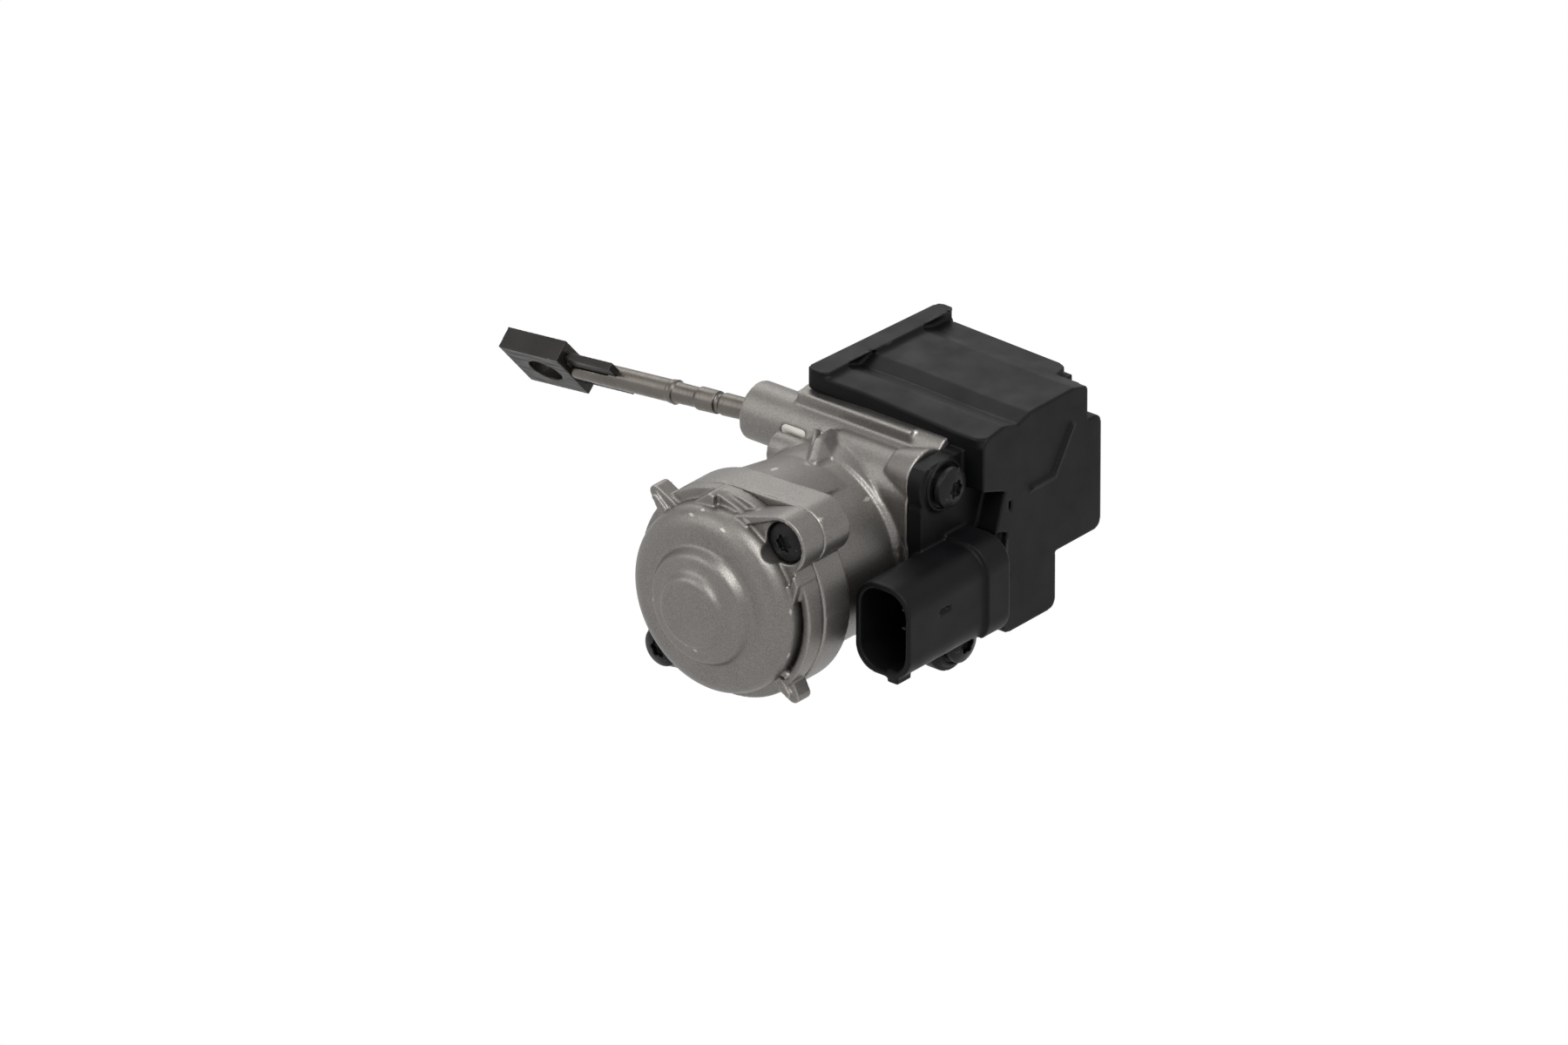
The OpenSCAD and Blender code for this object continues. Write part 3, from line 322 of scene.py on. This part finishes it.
def prism(outline, low, high):
    """A closed straight-sided form: its outline is drawn along x and up, and runs along y."""
    form = bmesh.new()
    near = [form.verts.new((x, low, z)) for x, z in outline]
    far = [form.verts.new((x, high, z)) for x, z in outline]
    form.faces.new(near)
    form.faces.new(far)
    for i in range(len(outline)):
        form.faces.new((near[i - 1], near[i], far[i], far[i - 1]))
    bmesh.ops.recalc_face_normals(form, faces=form.faces)
    return form


def hull(points):
    """The smallest closed form round some points."""
    form = bmesh.new()
    for point in points:
        form.verts.new(point)
    result = bmesh.ops.convex_hull(form, input=form.verts)
    bmesh.ops.delete(form, geom=result["geom_interior"] + result["geom_unused"], context="VERTS")
    bmesh.ops.recalc_face_normals(form, faces=form.faces)
    return form


def mesh_of(form, name):
    """The form as a mesh in the frame's metres; forms are drawn in mm from the motor's axis."""
    bmesh.ops.scale(form, verts=form.verts, vec=(MM, MM, MM))
    bmesh.ops.translate(form, verts=form.verts, vec=Vector((19.5, -55, 13)) * MM)
    mesh = bpy.data.meshes.new(name)
    form.to_mesh(mesh)
    form.free()
    return mesh


def remeshed(name, node, body, slot_name, voxel, passes, share=0.45, more=(), less=()):
    """A copy of a CAD node with the soft edges of a casting, which then stands for it."""
    form = bmesh.new()
    form.from_mesh(frame["nodes"][node].data)
    for extra in more:
        form.from_mesh(mesh_of(extra, name + "_more"))
    mesh = bpy.data.meshes.new(name)
    form.to_mesh(mesh)
    form.free()
    piece = bpy.data.objects.new(name, mesh)
    bpy.context.collection.objects.link(piece)
    cutters = []
    for cut in less:
        cutter = bpy.data.objects.new(name + "_less", mesh_of(cut, name + "_less"))
        bpy.context.collection.objects.link(cutter)
        cutters.append(cutter)
        away = piece.modifiers.new("away", "BOOLEAN")
        away.operation = "DIFFERENCE"
        away.object = cutter
        away.solver = "EXACT"
    remesh = piece.modifiers.new("remesh", "REMESH")
    remesh.mode = "VOXEL"
    remesh.voxel_size = voxel
    smooth = piece.modifiers.new("smooth", "SMOOTH")
    smooth.factor = 0.5
    smooth.iterations = passes
    thin = piece.modifiers.new("thin", "DECIMATE")
    thin.ratio = share
    view = bpy.context.evaluated_depsgraph_get()
    mesh = bpy.data.meshes.new_from_object(piece.evaluated_get(view))
    piece.modifiers.clear()
    for cutter in cutters:
        bpy.data.objects.remove(cutter)
    piece.data = mesh
    mesh.shade_smooth()
    mesh.materials.clear()
    mesh.materials.append(looks[slot_name])
    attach(piece, body)
    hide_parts(node)
    print(name, len(mesh.polygons))
    return piece


def lug_notch():
    """Outline of what is missing below the cap's upper lug, between the flange's round and the lug's."""
    lug = Vector((27.4 * cos(radians(46)), 27.4 * sin(radians(46))))
    flange = [(26.0 * cos(radians(a)), 26.0 * sin(radians(a))) for a in range(1, 32, 3)]
    side = [(lug.x + 7 * cos(radians(a)), lug.y + 7 * sin(radians(a))) for a in range(-60, -3, 6)]
    return flange + side + [(29, side[-1][1]), (29, flange[0][1])]


# Housing: one casting. Here it gets the ridge that climbs from the tube to the rod's boss, and
# the flange is cut away below the upper screw's lug.
boss_ridge = [(2.9, 39.6, 21.5), (1.5, 38.7, 21.5), (2.9, 39.8, 23.3), (1.5, 38.9, 23.3),
              (-1.2, 46.9, 25.2), (-2.8, 46.0, 25.2), (-4.5, 53.5, 24.6), (-2.0, 56.6, 23.3),
              (3.3, 45.2, 23.0), (-4.5, 53.5, 19), (-2.0, 56.6, 19), (3.3, 45.2, 19)]
remeshed("cast_housing", "gear_housing", "housing", "cast_aluminium", 0.42 * MM, 4,
         more=[hull(boss_ridge)], less=[prism(lug_notch(), 14.3, 25.5)])

# Cap: cast with generous rounds, and cut away with the flange below the lug. The steps of its
# dome flow into each other, so that part is smoothed again by itself.
groove = [(r * cos(radians(a)), r * sin(radians(a)))
          for r, turn in ((22.6, 1), (24.1, -1)) for a in range(-40, 31, 5)[::turn]]
cap = remeshed("cast_cap", "motor_cap", "housing", "cast_aluminium", 0.30 * MM, 5,
               more=[prism(groove, 10.5, 14.6)], less=[prism(lug_notch(), 5.0, 15.3)])
form = bmesh.new()
form.from_mesh(cap.data)
dome = [v for v in form.verts if v.co.y < -49.5 * MM
        and (Vector((v.co.x, v.co.z)) - Vector((19.5, 13)) * MM).length < 21.5 * MM]
for _ in range(26):
    bmesh.ops.smooth_vert(form, verts=dome, factor=0.5, use_axis_x=True, use_axis_y=True, use_axis_z=True)
form.to_mesh(cap.data)
form.free()
cap.data.shade_smooth()

# Cover: moulded in one with the connector's shroud, which has a key under its mouth and a shallow
# catch for the plug's latch on its side.
mouth_key = prism([(34.2, -18.0), (37.4, -18.0), (37.4, -14.5), (34.2, -14.5)], 27.2, 32)
latch_catch = prism([(40.2, -2.8), (41.6, -3.3), (41.6, -1.5), (40.2, -2.0)], 38, 41.8)
strip_foot = prism([(-14.4, 28.5), (-9.1, 28.5), (-9.1, 33.7), (-14.4, 33.7)], 64, 103.5)
cover = remeshed("moulded_cover", "cover", "housing", "black_nylon", 0.36 * MM, 2,
                 more=[mouth_key, strip_foot], less=[latch_catch])

# Its roof falls a little toward the right and the front, and its front left corner juts out.
for vertex in cover.data.vertices:
    x, y, z = vertex.co / MM - Vector((19.5, -55, 13))
    roof = min(max((z - 26) / 3, 0), 1) * (1 if z > 26 else 0)
    front = min(max((104 - y) / 43, 0), 1)
    left = min(max(-x / 14, 0), 1)
    right = min(max((x + 14) / 40, 0), 1)
    edge = min(max((69 - y) / 8, 0), 1)
    vertex.co += roof * MM * Vector((-2.2 * left * front, -1.4 * left * front, -right * (1.0 + 1.3 * edge)))
cover.data.update()

# Push rod: turned steel, drawn from its ball joint along a slightly drooping axis. Each stop says
# where a point so far along the rod goes, and how much thicker the real rod is there.
ball = (Vector((-24, 60, 18.3)) + Vector((19.5, -55, 13))) * MM
along = Vector((-cos(radians(5.9)), 0, -sin(radians(5.9))))
stops = [(0, 0, 1.0), (7, 7, 1.0), (9, 9.5, 1.14), (17.8, 20.4, 1.2), (27, 31, 1.28),
         (27.8, 31.6, 1.14), (45, 47, 1.13), (60, 60, 1.08), (90, 90, 1.0)]
rod = remeshed("turned_rod", "push_rod", "rod", "bright_steel", 0.16 * MM, 3, 0.35)
for vertex in rod.data.vertices:
    t = min(max((vertex.co - ball).dot(along) / MM, 0), 89)
    radial = vertex.co - ball - t * MM * along
    low, high = [pair for pair in zip(stops, stops[1:]) if pair[0][0] <= t][-1]
    part = (t - low[0]) / (high[0] - low[0])
    moved, thicker = low[1] + part * (high[1] - low[1]), low[2] + part * (high[2] - low[2])
    if (vertex.co - ball).dot(along) > 7 * MM:
        vertex.co = ball + moved * MM * along + thicker * radial
rod.data.update()

# Bright ring where the rod's thick part ends: a chamfer, drawn in a far lighter steel than the rod as a painted
# highlight.
ring_form = bmesh.new()
across = Vector((0, 1, 0))
upward = along.cross(across)
rings = [[ring_form.verts.new((ball + (32.2 + t) * MM * along
                               + r * MM * (cos(radians(a)) * across + sin(radians(a)) * upward)))
          for a in range(0, 360, 6)]
         for t, r in ((0, 2.2), (0.1, 2.58), (0.9, 2.66), (1.7, 2.6), (1.8, 2.2))]
for first, second in zip(rings, rings[1:] + rings[:1]):
    for i in range(60):
        ring_form.faces.new((first[i - 1], first[i], second[i], second[i - 1]))
bmesh.ops.recalc_face_normals(ring_form, faces=ring_form.faces)
ring_mesh = bpy.data.meshes.new("rod_chamfer")
ring_form.to_mesh(ring_mesh)
ring_form.free()
chamfer = bpy.data.objects.new("rod_chamfer", ring_mesh)
bpy.context.collection.objects.link(chamfer)
ring_mesh.shade_smooth()
# Painted highlight: the ring's steel colour is much lighter than the rod's.
ring_mesh.materials.append(turned_steel("painted_highlight_steel", (1, 0.04, 0.04), (0.55, 0.53, 0.50), (0.70, 0.68, 0.64)))
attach(chamfer, "rod")

# Rod end: a flat dark block with the hole for the lever's pin, and a tongue set into the rod. The
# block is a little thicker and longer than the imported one, and the tongue stands out of the rod.
rod_end = remeshed("flat_rod_end", "rod_end_block", "rod", "dark_steel", 0.16 * MM, 1, 0.3)
thick = Vector((sin(radians(40)) * sin(radians(5.9)), -cos(radians(40)), -sin(radians(40)) * cos(radians(5.9))))
for vertex in rod_end.data.vertices:
    t = (vertex.co - ball).dot(along) / MM
    side = (vertex.co - ball).dot(thick)
    high = (vertex.co - ball).dot(along.cross(thick))
    if t > 62.2:
        vertex.co += 0.16 * side * thick - 1.3 * MM * min(max((79 - t) / 16, 0), 1) * along
    else:
        vertex.co += 0.45 * high * along.cross(thick) - 1.0 * MM * along
rod_end.data.update()

# Screws: six-lobed pan heads.
remeshed("cap_screw_pair", "cap_screws", "housing", "black_steel", 0.16 * MM, 1, 0.4)
remeshed("cover_screw_set", "cover_screws", "housing", "black_steel", 0.16 * MM, 1, 0.4)

# Ear rims: the boss under each of the cover's two side screws has a raised bead round its edge. A
# node tree draws the bead once and sets it on every boss, facing right like the screws.
rims = bpy.data.node_groups.new("ear_rims", "GeometryNodeTree")
rims.interface.new_socket("Spots", in_out="INPUT", socket_type="NodeSocketGeometry")
for label, size in (("Ring radius", 5.9 * MM), ("Bead radius", 0.5 * MM)):
    rims.interface.new_socket(label, in_out="INPUT", socket_type="NodeSocketFloat").default_value = size
look_socket = rims.interface.new_socket("Look", in_out="INPUT", socket_type="NodeSocketMaterial")
rims.interface.new_socket("Rims", in_out="OUTPUT", socket_type="NodeSocketGeometry")
given, ring, bead, tube, stand, real, skin, done = [rims.nodes.new(kind) for kind in (
    "NodeGroupInput", "GeometryNodeCurvePrimitiveCircle", "GeometryNodeCurvePrimitiveCircle",
    "GeometryNodeCurveToMesh", "GeometryNodeInstanceOnPoints", "GeometryNodeRealizeInstances",
    "GeometryNodeSetMaterial", "NodeGroupOutput")]
ring.inputs["Resolution"].default_value = 96
bead.inputs["Resolution"].default_value = 14
stand.inputs["Rotation"].default_value = (0, radians(90), 0)
for out, into in [
        (given.outputs["Ring radius"], ring.inputs["Radius"]),
        (given.outputs["Bead radius"], bead.inputs["Radius"]),
        (ring.outputs["Curve"], tube.inputs["Curve"]),
        (bead.outputs["Curve"], tube.inputs["Profile Curve"]),
        (given.outputs["Spots"], stand.inputs["Points"]),
        (tube.outputs["Mesh"], stand.inputs["Instance"]),
        (stand.outputs["Instances"], real.inputs["Geometry"]),
        (real.outputs["Geometry"], skin.inputs["Geometry"]),
        (given.outputs["Look"], skin.inputs["Material"]),
        (skin.outputs["Geometry"], done.inputs["Rims"])]:
    rims.links.new(out, into)
spots = bpy.data.meshes.new("ear_spots")
spots.from_pydata([Vector(spot) * MM for spot in ((49.2, -1.7, 33.8), (49.2, 2.4, -7.5))], [], [])
ear_rims = bpy.data.objects.new("ear_rims", spots)
bpy.context.collection.objects.link(ear_rims)
drawn = ear_rims.modifiers.new("rims", "NODES")
drawn.node_group = rims
drawn[look_socket.identifier] = looks["black_nylon"]
view = bpy.context.evaluated_depsgraph_get()
ear_rims.data = bpy.data.meshes.new_from_object(ear_rims.evaluated_get(view))
ear_rims.modifiers.clear()
ear_rims.data.shade_smooth()
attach(ear_rims, "housing")

# Pale patch seen in the slot in the boss's front: a thin slab with the white nylon look, a painted highlight.
patch_outline = [(x + 1.3 * cos(radians(a)), 20 + 1.3 * sin(radians(a)))
               for x, start in ((-12.7, -90), (-17.2, 90)) for a in range(start, start + 181, 15)]
patch_form = prism(patch_outline, 53.1, 53.9)
bmesh.ops.bevel(patch_form, geom=[e for e in patch_form.edges if all(v.co.y < 53.2 for v in e.verts)],
                offset=0.25, segments=3, affect="EDGES")
pocket_highlight = bpy.data.objects.new("pocket_highlight", mesh_of(patch_form, "pocket_highlight"))
bpy.context.collection.objects.link(pocket_highlight)
pocket_highlight.data.shade_smooth()
pocket_highlight.data.materials.append(looks["white_nylon"])
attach(pocket_highlight, "housing")
